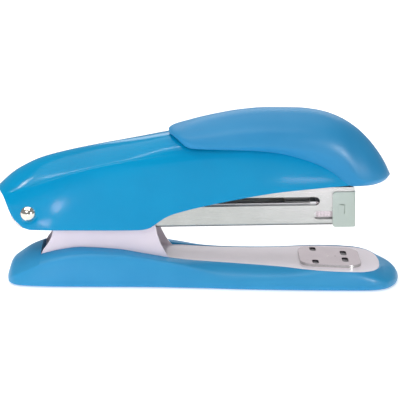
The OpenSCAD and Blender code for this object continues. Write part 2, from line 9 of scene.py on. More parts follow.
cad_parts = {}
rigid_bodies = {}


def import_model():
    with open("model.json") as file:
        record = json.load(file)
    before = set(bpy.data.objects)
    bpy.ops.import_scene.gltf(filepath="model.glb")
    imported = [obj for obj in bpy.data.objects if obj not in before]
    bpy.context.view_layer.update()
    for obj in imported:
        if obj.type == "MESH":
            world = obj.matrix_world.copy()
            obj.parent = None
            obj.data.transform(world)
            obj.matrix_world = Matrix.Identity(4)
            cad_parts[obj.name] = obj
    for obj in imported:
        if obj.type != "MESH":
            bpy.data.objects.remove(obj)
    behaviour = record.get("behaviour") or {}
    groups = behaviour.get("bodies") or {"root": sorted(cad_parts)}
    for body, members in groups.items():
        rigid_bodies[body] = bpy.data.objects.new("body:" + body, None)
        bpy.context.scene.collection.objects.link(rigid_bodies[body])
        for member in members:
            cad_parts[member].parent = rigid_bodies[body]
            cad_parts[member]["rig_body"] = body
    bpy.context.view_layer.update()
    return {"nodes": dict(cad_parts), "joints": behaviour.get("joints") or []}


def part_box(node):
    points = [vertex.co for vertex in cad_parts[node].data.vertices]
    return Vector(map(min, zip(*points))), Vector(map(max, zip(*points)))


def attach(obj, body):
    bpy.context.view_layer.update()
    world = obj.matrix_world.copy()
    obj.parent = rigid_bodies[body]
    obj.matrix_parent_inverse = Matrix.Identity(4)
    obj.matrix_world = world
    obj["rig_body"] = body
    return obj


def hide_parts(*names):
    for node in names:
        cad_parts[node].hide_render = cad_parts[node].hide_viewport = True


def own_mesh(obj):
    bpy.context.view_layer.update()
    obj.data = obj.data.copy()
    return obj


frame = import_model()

MM = 0.001
JOINTS = {joint["name"]: joint for joint in frame["joints"]}


def corners(node):
    """A CAD node's lowest and highest corners, in millimetres."""
    low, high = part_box(node)
    return np.array(low) / MM, np.array(high) / MM


# The frames that turn with the magazine and the anvil, read off the joints

HINGE = np.array(JOINTS["magazine_hinge"]["pos_m"]) / MM
SLIDE = JOINTS["pusher_slide"]["axis"]
LEAN = math.atan2(SLIDE[2], SLIDE[0])
PIVOT = np.array(JOINTS["anvil_turn"]["pos_m"]) / MM
SLOPE = math.asin(JOINTS["anvil_turn"]["axis"][0])
IN_WORLD = Matrix.Identity(4)
IN_MAGAZINE = Matrix.Translation(HINGE) @ Matrix.Rotation(-LEAN, 4, "Y")
IN_ANVIL = Matrix.Translation(PIVOT) @ Matrix.Rotation(SLOPE, 4, "Y")


# ---- Outlines, in millimetres ----

def through(points):
    """A smooth function through (x, value) points that never overshoots."""
    x, v = np.array(points, float).T
    step = np.diff(x)
    rate = np.diff(v) / step
    both = rate[:-1] * rate[1:]
    turn = np.where(both > 0, 2 * both / np.where(both > 0, rate[:-1] + rate[1:], 1), 0)
    m = np.concatenate([rate[:1], turn, rate[-1:]])

    def value(at):
        at = np.clip(at, x[0], x[-1])
        i = np.clip(np.searchsorted(x, at) - 1, 0, len(step) - 1)
        t = (at - x[i]) / step[i]
        return (v[i] * (1 + 2 * t) * (1 - t) ** 2 + m[i] * step[i] * t * (1 - t) ** 2
                + v[i + 1] * t * t * (3 - 2 * t) + m[i + 1] * step[i] * t * t * (t - 1))
    return value


def arc(cx, cy, r, start, end, n=8):
    """Points of an arc round (cx, cy), its angles in degrees."""
    return [(cx + r * math.cos(math.radians(start + (end - start) * i / n)),
             cy + r * math.sin(math.radians(start + (end - start) * i / n))) for i in range(n + 1)]


def rounded(x0, y0, x1, y1, r, n=6):
    """A rectangle with round corners."""
    return (arc(x1 - r, y1 - r, r, 0, 90, n) + arc(x0 + r, y1 - r, r, 90, 180, n)
            + arc(x0 + r, y0 + r, r, 180, 270, n) + arc(x1 - r, y0 + r, r, 270, 360, n))


def stations(a, b, n, ease=1.0):
    """n + 1 places from a to b, closer together at both ends where ease is 1."""
    t = np.linspace(0, 1, n + 1)
    eased = (1 - np.cos(math.pi * t)) / 2
    return a + (b - a) * (ease * eased + (1 - ease) * t)


def soften(points, passes):
    """Rounds a line of points by averaging neighbours, with its two ends kept."""
    points = np.array(points, float)
    for _ in range(passes):
        points[1:-1] = (points[:-2] + 2 * points[1:-1] + points[2:]) / 4
    return points


def smoothstep(low, high, value):
    t = np.clip((value - low) / (high - low), 0, 1)
    return t * t * (3 - 2 * t)


# ---- Meshes ----

def solid(name, points, faces, place=IN_WORLD):
    """A piece from points in millimetres, placed in one of the turning frames."""
    mesh = bpy.data.meshes.new(name)
    mesh.from_pydata([tuple(p) for p in points], [], faces)
    mesh.transform(Matrix.Scale(MM, 4) @ place)
    bm = bmesh.new()
    bm.from_mesh(mesh)
    bmesh.ops.recalc_face_normals(bm, faces=bm.faces)
    bm.to_mesh(mesh)
    bm.free()
    piece = bpy.data.objects.new(name, mesh)
    bpy.context.scene.collection.objects.link(piece)
    return piece


def prism(name, outline, low, high, along="y", place=IN_WORLD):
    """An outline given thickness: (x, z) along y, (x, y) along z, or (y, z) along x."""
    order = {"x": lambda u, v, w: (w, u, v), "y": lambda u, v, w: (u, w, v),
             "z": lambda u, v, w: (u, v, w)}[along]
    n = len(outline)
    points = [order(u, v, w) for w in (low, high) for u, v in outline]
    sides = [(i, (i + 1) % n, n + (i + 1) % n, n + i) for i in range(n)]
    return solid(name, points, [tuple(range(n)), tuple(range(n, 2 * n)), *sides], place)


def block(name, low, high, place=IN_WORLD):
    """A box between two corners."""
    outline = [(low[0], low[1]), (high[0], low[1]), (high[0], high[1]), (low[0], high[1])]
    return prism(name, outline, low[2], high[2], "z", place)


def rod(name, centre, r, low, high, along="y", place=IN_WORLD, n=48):
    """A cylinder along one axis."""
    return prism(name, arc(*centre, r, 0, 360 * (n - 1) / n, n - 1), low, high, along, place)


def settle(piece):
    """Applies a piece's modifiers."""
    evaluated = piece.evaluated_get(bpy.context.evaluated_depsgraph_get())
    mesh = bpy.data.meshes.new_from_object(evaluated)
    piece.modifiers.clear()
    piece.data = mesh
    return piece


def combine(piece, others, operation):
    """Adds, removes or keeps the overlap with other solids, which are used up."""
    for other in others:
        step = piece.modifiers.new("combine", "BOOLEAN")
        step.operation, step.object, step.solver = operation, other, "EXACT"
    bpy.context.view_layer.update()
    settle(piece)
    for other in others:
        bpy.data.objects.remove(other)
    return piece


def cut(piece, *others):
    return combine(piece, others, "DIFFERENCE")


def fuse(piece, *others):
    return combine(piece, others, "UNION")


def trim(piece, other):
    return combine(piece, [other], "INTERSECT")


def shade(piece, angle):
    """Smooth shading that stays crisp at edges sharper than the angle."""
    piece.data.shade_smooth()
    piece.data.set_sharp_from_angle(angle=math.radians(angle))
    return piece


def round_edges(piece, width, segments=3):
    """Rounds the sharp edges of pressed or moulded work."""
    weld = piece.modifiers.new("weld", "WELD")
    weld.merge_threshold = 1e-6
    bevel = piece.modifiers.new("round", "BEVEL")
    bevel.width, bevel.segments = width * MM, segments
    bevel.limit_method, bevel.angle_limit = "ANGLE", math.radians(40)
    bevel.miter_outer = "MITER_ARC"
    bpy.context.view_layer.update()
    settle(piece)
    shade(piece, 50)
    normals = piece.modifiers.new("normals", "WEIGHTED_NORMAL")
    normals.keep_sharp = True
    bpy.context.view_layer.update()
    return settle(piece)


def moulding(name, outer, inner):
    """A closed shell from two grids of points: rows along the length, and in each row the points from
    the near foot over the top to the far foot, as many rows and columns inside as outside."""
    rings = np.concatenate([outer, inner[:, ::-1]], axis=1)
    rows, around = rings.shape[:2]
    across = outer.shape[1]
    faces = [(i * around + j, i * around + (j + 1) % around,
              (i + 1) * around + (j + 1) % around, (i + 1) * around + j)
             for i in range(rows - 1) for j in range(around)]
    for start in (0, (rows - 1) * around):
        faces.append(tuple(start + j for j in range(across)))
        faces.append(tuple(start + j for j in range(across, around)))
        faces.append((start, start + across - 1, start + across, start + around - 1))
    return solid(name, rings.reshape(-1, 3), faces)


def mirrored(half):
    """A full cross-section from its half, listed from the near foot up to the middle."""
    half = np.array(half, float)
    far = half[-2::-1] * (-1, 1) if abs(half[-1][0]) < 1e-6 else half[::-1] * (-1, 1)
    return np.concatenate([half * (1, 1), far])


def turned(name, profile, place, n=64):
    """A solid of revolution about its local z axis from (radius, height) points."""
    points = [(r * math.cos(2 * math.pi * i / n), r * math.sin(2 * math.pi * i / n), z)
              for r, z in profile for i in range(n)]
    rows = len(profile)
    faces = [(a * n + i, a * n + (i + 1) % n, (a + 1) * n + (i + 1) % n, (a + 1) * n + i)
             for a in range(rows - 1) for i in range(n)]
    faces += [tuple(range(n)), tuple(range((rows - 1) * n, rows * n))]
    return solid(name, points, faces, place)


def tube(name, path, r, sides=10, place=IN_WORLD):
    """A round wire along a path of points, with flat ends."""
    path = np.array(path, float)
    ahead = np.gradient(path, axis=0)
    ahead /= np.linalg.norm(ahead, axis=1)[:, None]
    side = np.cross(ahead[0], (0.3, 0.5, 0.8))
    points = []
    for here, way in zip(path, ahead):
        side = side - way * (side @ way)
        side /= np.linalg.norm(side)
        up = np.cross(way, side)
        for i in range(sides):
            a = 2 * math.pi * i / sides
            points.append(here + r * (math.cos(a) * side + math.sin(a) * up))
    faces = [(a * sides + i, a * sides + (i + 1) % sides,
              (a + 1) * sides + (i + 1) % sides, (a + 1) * sides + i)
             for a in range(len(path) - 1) for i in range(sides)]
    faces += [tuple(range(sides)), tuple(range((len(path) - 1) * sides, len(path) * sides))]
    return shade(solid(name, points, faces, place), 60)


def joined(name, pieces):
    """Several separate solids as one piece."""
    bm = bmesh.new()
    for piece in pieces:
        bm.from_mesh(piece.data)
        bpy.data.objects.remove(piece)
    mesh = bpy.data.meshes.new(name)
    bm.to_mesh(mesh)
    bm.free()
    whole = bpy.data.objects.new(name, mesh)
    bpy.context.scene.collection.objects.link(whole)
    return whole


# ---- Finishes ----

def tone(r, g, b):
    """A colour given as 0 to 255 in sRGB, as a linear colour."""
    return tuple((c / 255 / 12.92 if c <= 10 else ((c / 255 + 0.055) / 1.055) ** 2.4)
                 for c in (r, g, b)) + (1.0,)


class Finish:
    """A surface whose colour, roughness and relief vary with place on the piece."""

    def __init__(self, name, **settings):
        self.material = bpy.data.materials.new(name)
        self.material.use_nodes = True
        self.nodes, self.links = self.material.node_tree.nodes, self.material.node_tree.links
        self.surface = self.nodes["Principled BSDF"]
        for socket, value in settings.items():
            self.surface.inputs[socket.replace("_", " ")].default_value = value
        self.place = self.nodes.new("ShaderNodeTexCoord").outputs["Object"]
        self.height = None

    def noise(self, scale, detail=2.0, stretch=(1, 1, 1)):
        """Noise with about scale features a metre, drawn out where stretch is below 1."""
        mapping = self.nodes.new("ShaderNodeMapping")
        mapping.inputs["Scale"].default_value = [scale * s for s in stretch]
        self.links.new(self.place, mapping.inputs["Vector"])
        noise = self.nodes.new("ShaderNodeTexNoise")
        noise.inputs["Scale"].default_value = 1.0
        noise.inputs["Detail"].default_value = detail
        self.links.new(mapping.outputs["Vector"], noise.inputs["Vector"])
        return noise.outputs["Fac"]

    def between(self, source, low, high, start=0.3, end=0.7):
        """Maps source from start to end onto low to high."""
        node = self.nodes.new("ShaderNodeMapRange")
        for socket, value in (("From Min", start), ("From Max", end), ("To Min", low), ("To Max", high)):
            node.inputs[socket].default_value = value
        self.links.new(source, node.inputs["Value"])
        return node.outputs["Result"]

    def blend(self, share, one, other):
        """A colour between two, by a share from 0 to 1. Either may be another colour's output."""
        node = self.nodes.new("ShaderNodeMix")
        node.data_type = "RGBA"
        self.links.new(share, node.inputs["Factor"])
        for socket, colour in (("A", one), ("B", other)):
            target = [i for i in node.inputs if i.name == socket and i.type == "RGBA"][0]
            if isinstance(colour, tuple):
                target.default_value = colour
            else:
                self.links.new(colour, target)
        return [o for o in node.outputs if o.type == "RGBA"][0]

    def colour(self, source):
        self.links.new(source, self.surface.inputs["Base Color"])
        return self

    def rough(self, source):
        self.links.new(source, self.surface.inputs["Roughness"])
        return self

    def relief(self, source, depth):
        """Adds relief of that depth in millimetres."""
        bump = self.nodes.new("ShaderNodeBump")
        bump.inputs["Distance"].default_value = depth * MM
        bump.inputs["Strength"].default_value = 1.0
        self.links.new(source, bump.inputs["Height"])
        if self.height is not None:
            self.links.new(self.height, bump.inputs["Normal"])
        self.height = bump.outputs["Normal"]
        self.links.new(self.height, self.surface.inputs["Normal"])
        return self


def plastic(name, light, dark, rough, grain, wave=0.0, **settings):
    """Moulded plastic: slow colour drift, uneven gloss, and fine moulded grain."""
    f = Finish(name, **settings)
    f.colour(f.blend(f.between(f.noise(60, 3), 0, 1), light, dark))
    f.rough(f.between(f.noise(900, 4), rough[0], rough[1]))
    if wave:
        f.relief(f.noise(90, 1), wave)
    f.relief(f.noise(6000, 2), grain)
    return f.material


def steel(name, light, dark, rough, along=(1, 1, 1), grain=0.004, **settings):
    """Rolled or drawn steel: brushed along one way, with faint cloudy stains."""
    f = Finish(name, Metallic=1.0, **settings)
    lines = f.noise(9000, 3, along)
    cloud = f.noise(160, 4)
    f.colour(f.blend(f.between(cloud, 0, 1), light, f.blend(f.between(lines, 0, 1), light, dark)))
    f.rough(f.between(lines, rough[0], rough[1]))
    f.relief(lines, grain)
    return f.material


ALONG_X = (0.02, 1, 1)
ALL_WAYS = (1, 1, 1)

gloss_blue = plastic("gloss_blue", tone(0, 146, 198), tone(0, 152, 204), (0.1, 0.16), 0.0004,
                     wave=0.006, IOR=1.46, Specular_IOR_Level=0.2)
satin_blue = plastic("satin_blue", tone(38, 141, 196), tone(46, 146, 200), (0.36, 0.44), 0.003,
                     IOR=1.46, Specular_IOR_Level=0.3)
base_blue = plastic("base_blue", tone(40, 150, 204), tone(48, 156, 208), (0.34, 0.44), 0.003,
                    IOR=1.46, Specular_IOR_Level=0.35)
white_enamel = plastic("white_enamel", tone(244, 233, 241), tone(238, 227, 235), (0.28, 0.36), 0.0005,
                       wave=0.006, IOR=1.5)
pad_rubber = plastic("pad_rubber", tone(64, 68, 74), tone(54, 57, 62), (0.65, 0.8), 0.01)
nickel = steel("nickel", tone(182, 185, 182), tone(168, 171, 168), (0.26, 0.34), ALONG_X, 0.0006)
clip_enamel = plastic("clip_enamel", tone(180, 194, 186), tone(174, 188, 180), (0.28, 0.36), 0.0005,
                      Metallic=0.3, IOR=1.6)
anvil_steel = steel("anvil_steel", tone(172, 162, 167), tone(158, 148, 154), (0.3, 0.42), ALL_WAYS, 0.002)
# A dark steel for the anvil's pockets: painted shade and painted dark reflection in the sunk faces.
pocket_painted_shade = steel("pocket_painted_shade", tone(52, 46, 54), tone(34, 30, 38), (0.2, 0.4), ALL_WAYS)
plated = steel("plated", tone(212, 212, 208), tone(184, 184, 182), (0.2, 0.34), ALL_WAYS, 0.002)
spring_steel = steel("spring_steel", tone(168, 168, 170), tone(120, 120, 124), (0.2, 0.34), ALONG_X)
blade_steel = steel("blade_steel", tone(92, 92, 100), tone(62, 62, 70), (0.24, 0.4), ALL_WAYS)
staple_wire = steel("staple_wire", tone(226, 216, 220), tone(196, 186, 192), (0.2, 0.32), ALL_WAYS)
chrome = steel("chrome", tone(228, 226, 216), tone(216, 214, 204), (0.04, 0.1), ALL_WAYS, 0.0005)


def painted_light_and_shade_rail_finish():
    """Near-white sides as painted light, and a dark top as painted shade from the head above, chosen by
    which way each face points.
    """
    f = Finish("rail_painted_light_and_shade", Metallic=0.25)
    lines = f.noise(9000, 3, ALONG_X)
    up = f.nodes.new("ShaderNodeSeparateXYZ")
    f.links.new(f.nodes["Texture Coordinate"].outputs["Normal"], up.inputs["Vector"])
    # Painted light: near-white colour on faces that point sideways. Painted shade: dark colour on faces
    # that point up.
    side = f.blend(f.between(lines, 0, 1), tone(246, 246, 246), tone(232, 232, 232))
    top = f.blend(f.between(lines, 0, 1), tone(46, 42, 50), tone(30, 27, 34))
    f.colour(f.blend(f.between(up.outputs["Z"], 0, 1, 0.6, 0.9), side, top))
    f.rough(f.between(lines, 0.25, 0.4))
    f.relief(lines, 0.003)
    return f.material


# The rail and pusher finish, with painted light on the sides and painted shade on the top.
rail_painted_light_and_shade = painted_light_and_shade_rail_finish()


def stand_for(piece, node, finish):
    """Shows a piece instead of a CAD node, on that node's body and in the given finish."""
    piece.data.materials.clear()
    piece.data.materials.append(finish)
    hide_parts(node)
    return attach(piece, frame["nodes"][node]["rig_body"])


# ---- Base ----

base_low, base_high = corners("base_shell")
BASE_REAR, BASE_NOSE = -70, 73
base_half_w = through([(-70, 6), (-69.2, 10.3), (-68, 12.7), (-66, 14.5), (-60, 15.7), (-50, 16.2),
                       (-20, 15.9), (0, 16.6), (20, 17.8), (45, 18.2), (58, 18), (62, 17.7), (65, 16.8),
                       (67.4, 15.4), (69.6, 12.8), (71.4, 9.4), (72.5, 5.8), (73, 3)])
base_rim_z = through([(-70, 2), (-68.6, 5), (-66, 7), (-62, 9.2), (-57.4, 11), (-50, 12.9), (-43, 13.8),
                      (-30, 13.2), (-20, 11.6), (-10, 10), (0, 9), (14, 8.3), (30, 7.8),
                      (62, 6.8), (67, 6.2), (70, 5.2), (72, 3.8), (73, 2.2)])
base_hump_z = through([(-70, 2.6), (-68.8, 6), (-66, 8.2), (-62, 10.9), (-57, 12.9)])
base_rim_w = through([(-70, 3), (-66, 6), (-61.5, 8.8), (-58, 10.1), (-12, 10.1), (0, 10),
                      (10, 10.4), (20, 11.3), (30, 12.9), (38, 15.2), (45, 16.5), (52, 16.8),
                      (58, 16.2), (62.5, 13.6), (65, 9.8), (67, 5), (70, 3), (73, 1)])
base_crease_z = through([(-70, 1.6), (-67, 3.8), (-62, 6.3), (-57.2, 8.6), (-50, 10.9), (-39, 12.2),
                         (-32, 12.2), (-25, 11.7), (-18, 10.8), (-7, 9), (0, 7.5), (9.6, 5.6),
                         (30, 5.4), (58, 5.2), (64, 4.6), (70, 3.2), (73, 1.6)])
tray_half_w = through([(-57.4, 9.6), (-12, 9.6), (0, 9.7), (10, 10.1), (20, 11), (30, 12.6),
                       (38, 14.9), (45, 16.2), (52, 16.5), (58, 15.9), (62, 13.8), (64.4, 10.4),
                       (65.6, 6), (66, 1)])
tray_top = through([(-60, 9.2), (-9, 9.2), (0, 8.75), (10, 8.3), (20, 7.98), (30, 7.7),
                    (70, 7.7 - 40 * math.tan(SLOPE))])
TRAY_REAR, TRAY_NOSE, RECESS, TRAY_T = -57.4, 66.0, 0.1, 1.0


def base_row(x, sunk):
    """The base's outer half-section at x: foot, wall, crease, band, rim and the plate's recess."""
    w, top, low = base_half_w(x), base_rim_z(x), base_low[2]
    rim = min(base_rim_w(x), w - 0.8)
    crease_z = min(base_crease_z(x), top - 0.25)
    crease_w = w - 0.35 - 0.9 * smoothstep(-70, -50, x) * (1 - smoothstep(0, 40, x))
    crease_w = max(crease_w, rim + 0.3)
    foot = [(w - 1.1, low), (w - 0.45, low + 0.12), (w - 0.1, low + 0.5)]
    wall = [(w - (w - crease_w) * t ** 2.2, low + 0.5 + (crease_z - low - 0.5) * t)
            for t in np.linspace(0, 1, 15)[1:]]
    band = [(crease_w + (rim - crease_w) * t,
             crease_z + (top - crease_z) * (1 - (1 - t) ** 1.5)) for t in np.linspace(0, 1, 13)[1:]]
    line = soften(foot + wall + band, 2)
    fade = smoothstep(-8, 14, x)
    line = line * (1 - fade) + soften(line, 14) * fade
    well = tray_half_w(np.clip(x, TRAY_REAR, TRAY_NOSE)) + RECESS if sunk else rim * 0.8
    well = min(well, rim - 0.12)
    if sunk:
        bed = tray_top(x) - TRAY_T - RECESS
        lip = [(max(rim - 0.18, well), top - 0.01), (well, top - 0.12), (well, min(bed + 0.3, top)),
               (well * 0.5, bed), (0, bed)]
    else:
        hump = max(base_hump_z(x), top) if x < 0 else top
        edge = crease_w if x < 0 else rim
        edge_z = crease_z if x < 0 else top
        crown = [(edge * y, edge_z + (hump - edge_z) * (1 - y ** 2.2)) for y in np.linspace(1, 0, 18)]
        if x < 0:
            line = soften(foot + wall, 2)
            lip = soften(crown, 1)[1:]
        else:
            lip = crown[-5:]
    return mirrored(np.concatenate([line, lip]))


def base_inner_row(x):
    """The base's inner half-section, as many points as outside."""
    low = base_low[2]
    w = base_half_w(x) - 2
    top = min(base_rim_z(x) - 2, tray_top(x) - TRAY_T - 1.6)
    t = np.radians(np.linspace(0, 90, 34))
    return mirrored(np.stack([(w - 3 * (1 - np.cos(t) ** 0.7)) * (t < t[-1]),
                              low + (top - low) * np.sin(t) ** 0.7], axis=1))


def rows_of(xs, section):
    """Stacks cross-sections into a grid of points."""
    grid = []
    for x in xs:
        points = section(x)
        grid.append(np.column_stack([np.full(len(points), x), points[:, 0], points[:, 1]]))
    return np.array(grid)


def smooth_along(grid, passes):
    """Smooths a grid lengthwise, so that reflections run evenly."""
    grid = grid.copy()
    for _ in range(passes):
        grid[1:-1] = (grid[:-2] + 2 * grid[1:-1] + grid[2:]) / 4
    return grid


def base_shell_piece():
    rear, front = TRAY_REAR - RECESS, TRAY_NOSE + RECESS
    xs = np.concatenate([stations(BASE_REAR, rear - 0.02, 18), stations(rear, front, 96, 0.5),
                         stations(front + 0.02, BASE_NOSE, 22)])
    outer = rows_of(xs, lambda x: base_row(x, rear - 0.01 < x < front + 0.01))
    inside = np.clip(xs, base_low[0] + 2.2, base_high[0] - 2.6)
    inner = rows_of(inside + np.linspace(-1e-3, 1e-3, len(xs)), base_inner_row)
    return shade(moulding("base_moulding", outer, inner), 40)


def ear_outline():
    """Side view of one hinge ear."""
    return ([(TRAY_REAR, 8.4), (TRAY_REAR, 10.9), (-56.4, 12.6), (-54.9, 14.7), (-53.6, 17),
             (-52.9, 19.6), (-53.6, 20.9), (-55.4, 21.6)]
            + arc(HINGE[0], HINGE[2], 4.8, -90, -270, 24)
            + [(-40, 30.4), (-22, 27), (-18, 25.6), (-16.4, 23.6), (-15.8, 21), (-15.3, 18.2),
               (-14.2, 15.2), (-12.6, 12.2), (-11.2, 10.2), (-9.6, 8.4)])


def base_plate_piece():
    xs = stations(TRAY_REAR, TRAY_NOSE, 110, 0.7)
    ys = np.linspace(-1, 1, 25)
    top = np.array([[(x, y * tray_half_w(x), tray_top(x)) for y in ys] for x in xs])
    low = top - (0, 0, TRAY_T)
    n, m = top.shape[:2]
    points = np.concatenate([top.reshape(-1, 3), low.reshape(-1, 3)])
    k = n * m
    faces = [(i * m + j, i * m + j + 1, (i + 1) * m + j + 1, (i + 1) * m + j)
             for i in range(n - 1) for j in range(m - 1)]
    faces += [tuple(k + q for q in f[::-1]) for f in faces]
    for i in range(n - 1):
        for j in (0, m - 1):
            a, b = i * m + j, (i + 1) * m + j
            faces.append((a, b, k + b, k + a))
    for j in range(m - 1):
        for i in (0, n - 1):
            a, b = i * m + j, i * m + j + 1
            faces.append((a, b, k + b, k + a))
    plate = solid("tray_and_ears", points, faces)
    inner, outer = 8.6, 9.6
    ears = [prism("ear", ear_outline(), side * inner if side > 0 else -outer,
                  outer if side > 0 else -inner, "y") for side in (-1, 1)]
    fillets = []
    for side in (-1, 1):
        bend = [(side * (inner + 0.02), 9.0), (side * (inner + 0.02), 9.2 + 1.6)]
        bend += [(side * y, z) for y, z in arc(inner - 1.6, 9.2 + 1.6, 1.6, 0, -90, 10)]
        bend += [(side * (inner - 1.6), 9.0)]
        fillets.append(prism("fillet", bend, TRAY_REAR + 0.01, -11.6, "x"))
    fuse(plate, *ears, *fillets)
    marks = []
    for side in (-1, 1):
        for x0, x1, z0, z1 in ((-51.2, -50.2, 15.7, 19.3), (-19.4, -18.6, 16.5, 19.5)):
            y0, y1 = sorted((side * (outer - 0.3), side * (outer + 0.12)))
            marks.append(prism("mark", rounded(x0, z0, x1, z1, 0.35), y0, y1, "y"))
    fuse(plate, *marks)
    cut(plate, rod("bore", (HINGE[0], HINGE[2]), 2.02, -20, 20))
    return round_edges(plate, 0.22)


def hinge_pin_piece(node, end, name):
    """The pin's domed end, with the shank where the node has one."""
    low, high = corners(node)
    r, h = 2.75, 1.55
    dome_r = (r * r + h * h) / (2 * h)
    half = math.degrees(math.asin(r / dome_r))
    dome = [(dome_r * math.sin(a), h - dome_r + dome_r * math.cos(a))
            for a in (math.radians(half * t) for t in np.linspace(0.02, 1, 18))]
    face = low[1] if end < 0 else high[1]
    shoulder = [(r + 0.02, -0.02), (r + 0.02, -0.1), (r - 0.1, -0.15)]
    profile = dome + shoulder
    if end < 0:
        profile += [(2.0, -0.16), (2.0, -25.0), (1.8, -25.2)]
    way = Matrix.Rotation(math.radians(90 if end < 0 else -90), 4, "X")
    at = Matrix.Translation((HINGE[0], face - end * h, HINGE[2]))
    return shade(turned(name, profile, at @ way), 40)


# ---- Anvil ----

ANVIL_TOP = 1.0


def anvil_piece():
    low, high = 0.02, ANVIL_TOP
    plate = prism("anvil_plate", rounded(-11.2, -11.2, 11.2, 11.2, 5, 12), low, high, "z", IN_ANVIL)
    pockets = []
    for side in (-1, 1):
        for x, y0, y1 in ((5.55, 1.4, 6.9), (-5.55, 5.6, 10.3)):
            a, b = sorted((side * y0, side * y1))
            outline = rounded(x - 1.15, a, x + 1.15, b, 1.1, 8)
            pockets.append(prism("pocket", outline, ANVIL_TOP - 0.45, 3, "z", IN_ANVIL))
    for x in (-0.6, 2.2):
        pockets.append(rod("dimple", (x, 0), 0.28, ANVIL_TOP - 0.12, 3, "z", IN_ANVIL, 20))
    cut(plate, *pockets)
    round_edges(plate, 0.25, 3)
    return plate


def darken_pockets(plate):
    """Gives the sunk faces of the anvil their own darker steel, as painted shade and painted dark
    reflection in the pockets.
    """
    plate.data.materials.append(pocket_painted_shade)
    plate.data.materials.append(plated)
    into = (Matrix.Scale(MM, 4) @ IN_ANVIL).inverted()
    for face in plate.data.polygons:
        x, y, z = into @ face.center
        sunk = 0.2 < z < ANVIL_TOP - 0.1 and abs(x) < 6.9 and abs(y) < 10.5
        side = not sunk and z < ANVIL_TOP - 0.3
        # Index 1 is the painted shade in the pockets.
        face.material_index = 1 if sunk else 2 if side else 0


def coil_path(r, length, turns, steps=28, flat=0.75):
    """The centre line of a compression spring along z, its end turns closed up."""
    count = int(turns * steps)
    points = []
    for i in range(count + 1):
        t = i / count
        a = 2 * math.pi * turns * t
        edge = flat / turns
        lift = np.interp(t, [0, edge, 1 - edge, 1], [0, 0.02, 0.98, 1])
        points.append((r * math.cos(a), r * math.sin(a), length * lift))
    return points


# ---- Magazine ----

CHANNEL_HALF, CHANNEL_T = 7.4, 0.7
FLOOR_LOW, CHANNEL_TOP = -7.1, 7.0
NOSE = 117.5
CLIP_LENGTH, CLIP_LOW, CLIP_HIGH = 8.2, -7.7, 5.3


def channel_profile(half, wall, low, high, r):
    """The section of a U-shaped sheet, open at the top."""
    outer = [(-half, high)] + arc(-half + r, low + r, r, 180, 270, 6)
    outer += arc(half - r, low + r, r, 270, 360, 6) + [(half, high)]
    ri = r - wall
    inner = [(half - wall, high)] + arc(half - r, low + r, ri, 360, 270, 6)
    inner += arc(-half + r, low + r, ri, 270, 180, 6) + [(-half + wall, high)]
    return outer + inner


def magazine_piece():
    sheet = prism("magazine_sheet", channel_profile(CHANNEL_HALF, CHANNEL_T, FLOOR_LOW, CHANNEL_TOP, 1.1),
                  -8, NOSE, "x", IN_MAGAZINE)
    side = (arc(0, 7 + FLOOR_LOW, 7, 180, 270, 12) + [(NOSE - 1, FLOOR_LOW), (NOSE - 1, CLIP_HIGH + 0.15),
                                                     (NOSE - 0.25, CLIP_HIGH + 0.15)]
            + arc(NOSE - 0.85, CHANNEL_TOP - 0.6, 0.6, 0, 90, 8) + arc(0, 0, 7, 90, 180, 12))
    trim(sheet, prism("side", side, -12, 12, "y", IN_MAGAZINE))
    slot = arc(46.58, 1.92, 1.58, 90, 270, 16) + arc(103.12, 1.92, 1.58, -90, 90, 16)
    window = arc(104.05, -3.3, 1.55, 90, 270, 14) + arc(110.15, -3.3, 1.55, -90, 90, 14)
    inner = CHANNEL_HALF - CHANNEL_T
    cut(sheet, prism("slot", slot, -20, 20, "y", IN_MAGAZINE),
        prism("window", window, -20, 20, "y", IN_MAGAZINE),
        rod("bore", (0, 0), 2.05, -20, 20, "y", IN_MAGAZINE),
        block("rear", (-9, -inner + 0.4, -8), (4, inner - 0.4, -5), IN_MAGAZINE),
        block("front", (NOSE - 2.9, -inner, -8), (NOSE + 1, inner, -5), IN_MAGAZINE),
        *[rod("hole", (x, 0), 1.5, -10, -4, "z", IN_MAGAZINE, 32) for x in (26, 88)])
    return round_edges(sheet, 0.14, 2)


def front_plate_piece():
    half, wall, back = 7.95, 0.5, NOSE - CLIP_LENGTH
    r = 0.9
    outline = ([(back, -half)] + arc(NOSE - r, -half + r, r, 270, 360, 6)
               + arc(NOSE - r, half - r, r, 0, 90, 6) + [(back, half)]
               + [(back, half - wall), (NOSE - 0.9, half - wall), (NOSE - 0.9, -half + wall),
                  (back, -half + wall)])
    clip = prism("nose_clip", outline, CLIP_LOW, CLIP_HIGH, "z", IN_MAGAZINE)
    side = ([(NOSE + 1, CLIP_LOW), (NOSE + 1, CLIP_HIGH)]
            + arc(back + 1.1, CLIP_HIGH - 1.1, 1.1, 90, 180, 8)
            + arc(back + 1.1, CLIP_LOW + 1.1, 1.1, 180, 270, 8))
    trim(clip, prism("side", side, -12, 12, "y", IN_MAGAZINE))
    tongues, gaps = [], []
    for s in (-1, 1):
        y0, y1 = sorted((s * 7.6, s * 8.2))
        tongues.append(prism("tongue", rounded(NOSE - 6.1, -3.5, NOSE - 4.1, 0.6, 0.6), y0, y1, "y",
                             IN_MAGAZINE))
        y0, y1 = sorted((s * 7.5, s * 9.0))
        gaps.append(block("gap", (NOSE - 5.4, y0, 0.5), (NOSE - 3.8, y1, 0.85), IN_MAGAZINE))
        gaps.append(block("gap", (NOSE - 4.15, y0, -2.6), (NOSE - 3.8, y1, 0.8), IN_MAGAZINE))
    fuse(clip, *tongues)
    cut(clip, *gaps)
    return round_edges(clip, 0.14, 2)


